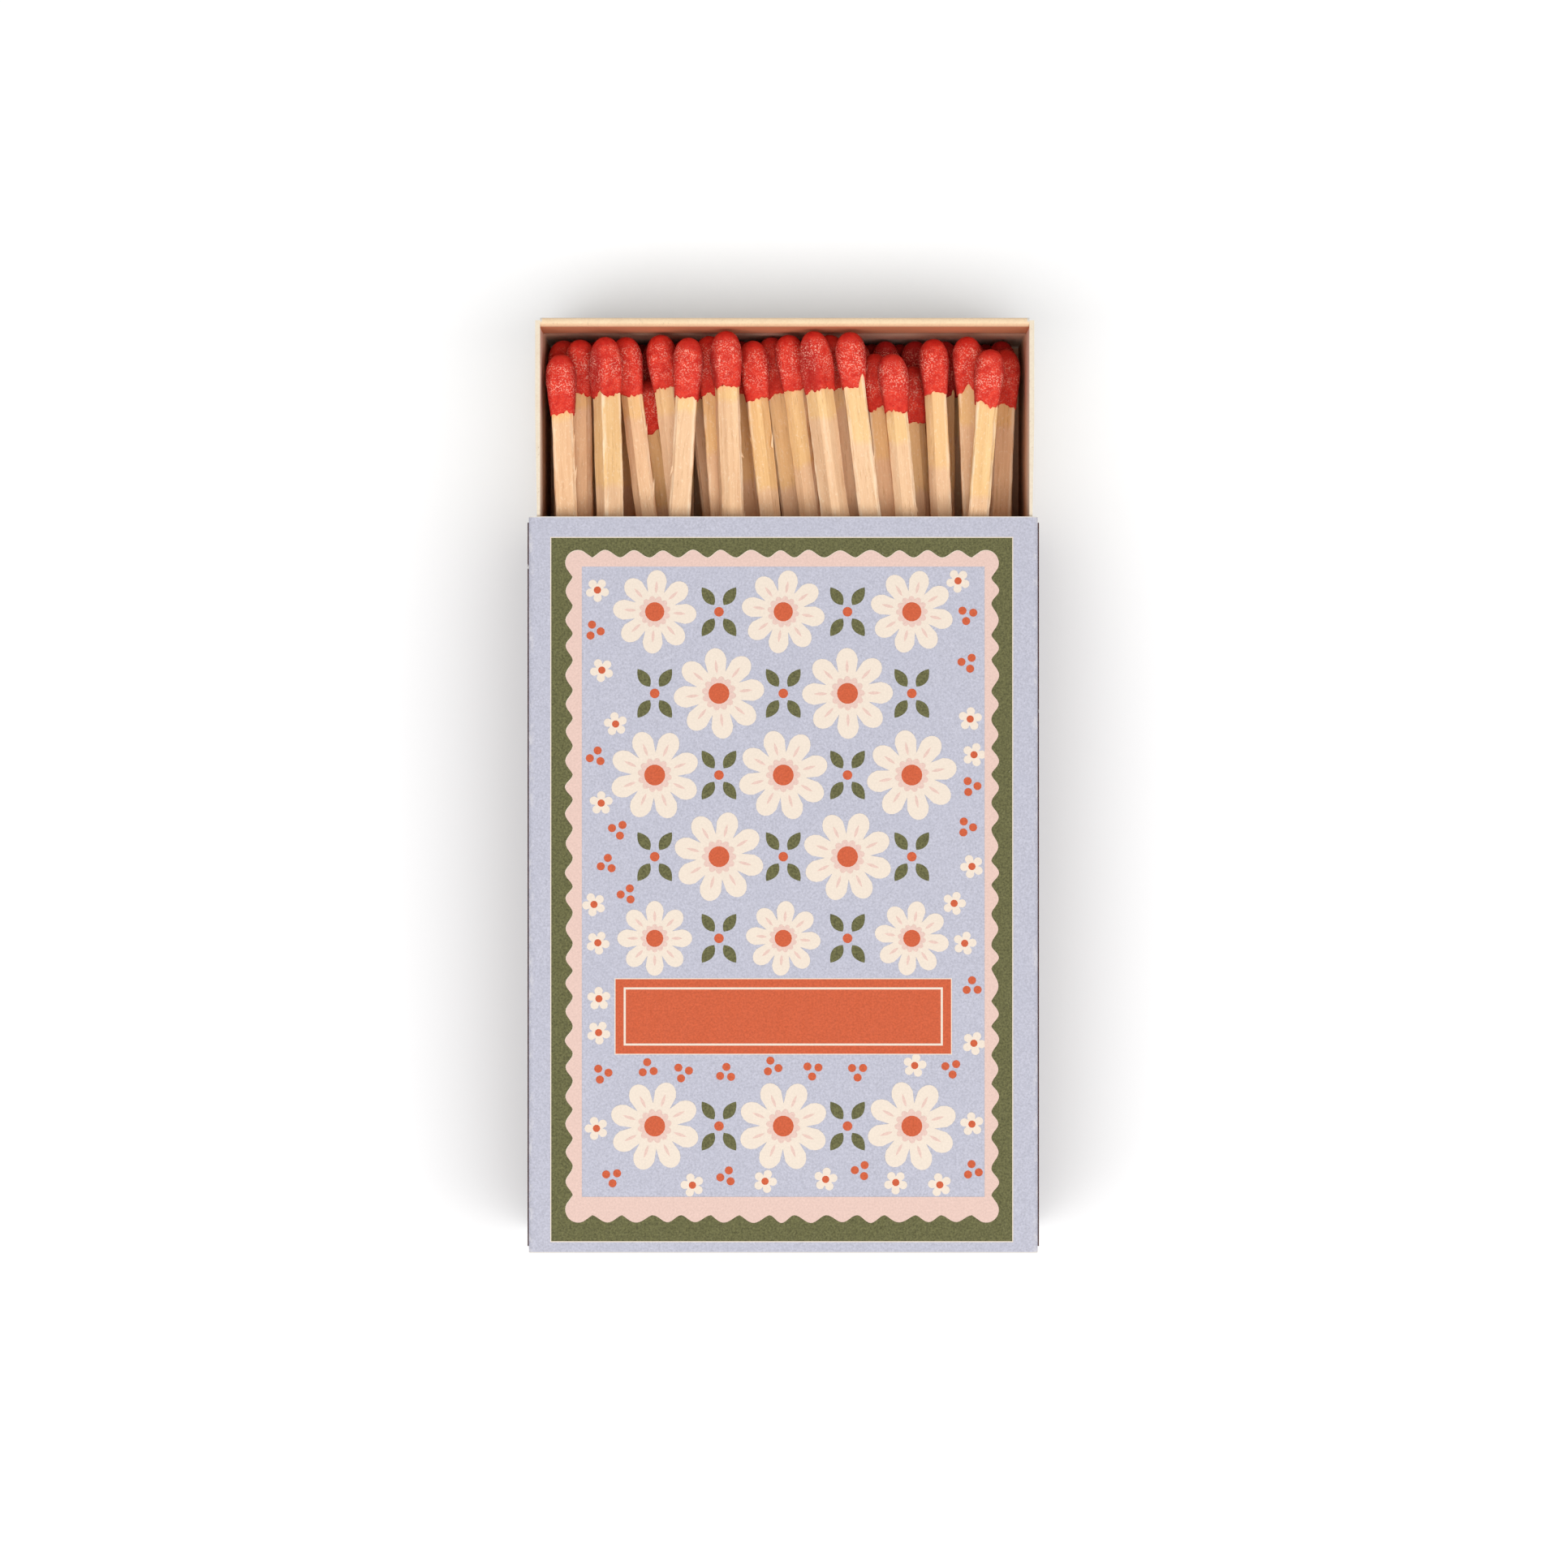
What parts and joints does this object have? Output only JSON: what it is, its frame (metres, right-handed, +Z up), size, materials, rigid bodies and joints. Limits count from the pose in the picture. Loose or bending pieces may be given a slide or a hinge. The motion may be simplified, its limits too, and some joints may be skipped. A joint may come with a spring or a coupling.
{
  "type": "matchbox",
  "caption": "Card matchbox: a printed sleeve with a striker on each side and a sliding tray full of long wooden matches with red heads.",
  "frame": {"origin": "middle of the sleeve's underside, on the surface that it lies on", "axes": "+X across the box, +Y the way the tray is pulled out at the match heads, +Z up out of the sleeve's printed face"},
  "size_m": [0.0688, 0.1256, 0.0262],
  "materials": {
    "sleeve_card": "matte, fine grain",
    "tray_card": "matte, uncoated",
    "striker": "gritty, matte",
    "olive_ink": "matte ink",
    "pink_ink": "matte ink",
    "red_ink": "matte ink",
    "cream_ink": "matte ink",
    "match_wood": "raw split wood",
    "match_head": "dry, powdery"
  },
  "bodies": {
    "sleeve_body": {"sleeve": "sleeve_card", "striker_left": "striker", "striker_right": "striker", "print_olive_frame": "olive_ink", "print_pink_border": "pink_ink", "print_red_band": "red_ink", "print_flower_01": "cream_ink", "print_flower_02": "cream_ink", "print_flower_03": "cream_ink", "print_flower_04": "cream_ink", "print_flower_05": "cream_ink", "print_flower_06": "cream_ink", "print_flower_07": "cream_ink", "print_flower_08": "cream_ink", "print_flower_09": "cream_ink", "print_flower_10": "cream_ink", "print_flower_11": "cream_ink", "print_flower_12": "cream_ink", "print_flower_13": "cream_ink", "print_flower_14": "cream_ink", "print_flower_15": "cream_ink", "print_flower_16": "cream_ink"},
    "tray_body": {"tray": "tray_card", "match_bed_1": "match_wood", "match_bed_2": "match_wood", "match_bed_3": "match_wood", "match_01": "match_wood", "match_02": "match_wood", "match_03": "match_wood", "match_04": "match_wood", "match_05": "match_wood", "match_06": "match_wood", "match_07": "match_wood", "match_08": "match_wood", "match_09": "match_wood", "match_10": "match_wood", "match_11": "match_wood", "match_12": "match_wood", "match_13": "match_wood", "match_14": "match_wood", "match_15": "match_wood", "match_16": "match_wood", "match_17": "match_wood", "match_18": "match_wood", "match_19": "match_wood", "match_20": "match_wood", "match_21": "match_wood", "match_22": "match_wood", "match_23": "match_wood", "match_24": "match_wood", "match_25": "match_wood", "match_26": "match_wood", "match_27": "match_wood", "match_28": "match_wood"}
  },
  "joints": [
    {"name": "tray_slide", "type": "slide", "parent": "sleeve_body", "child": "tray_body", "axis": [0, 1, 0], "range_m": [-0.1256, 0.072]}
  ]
}
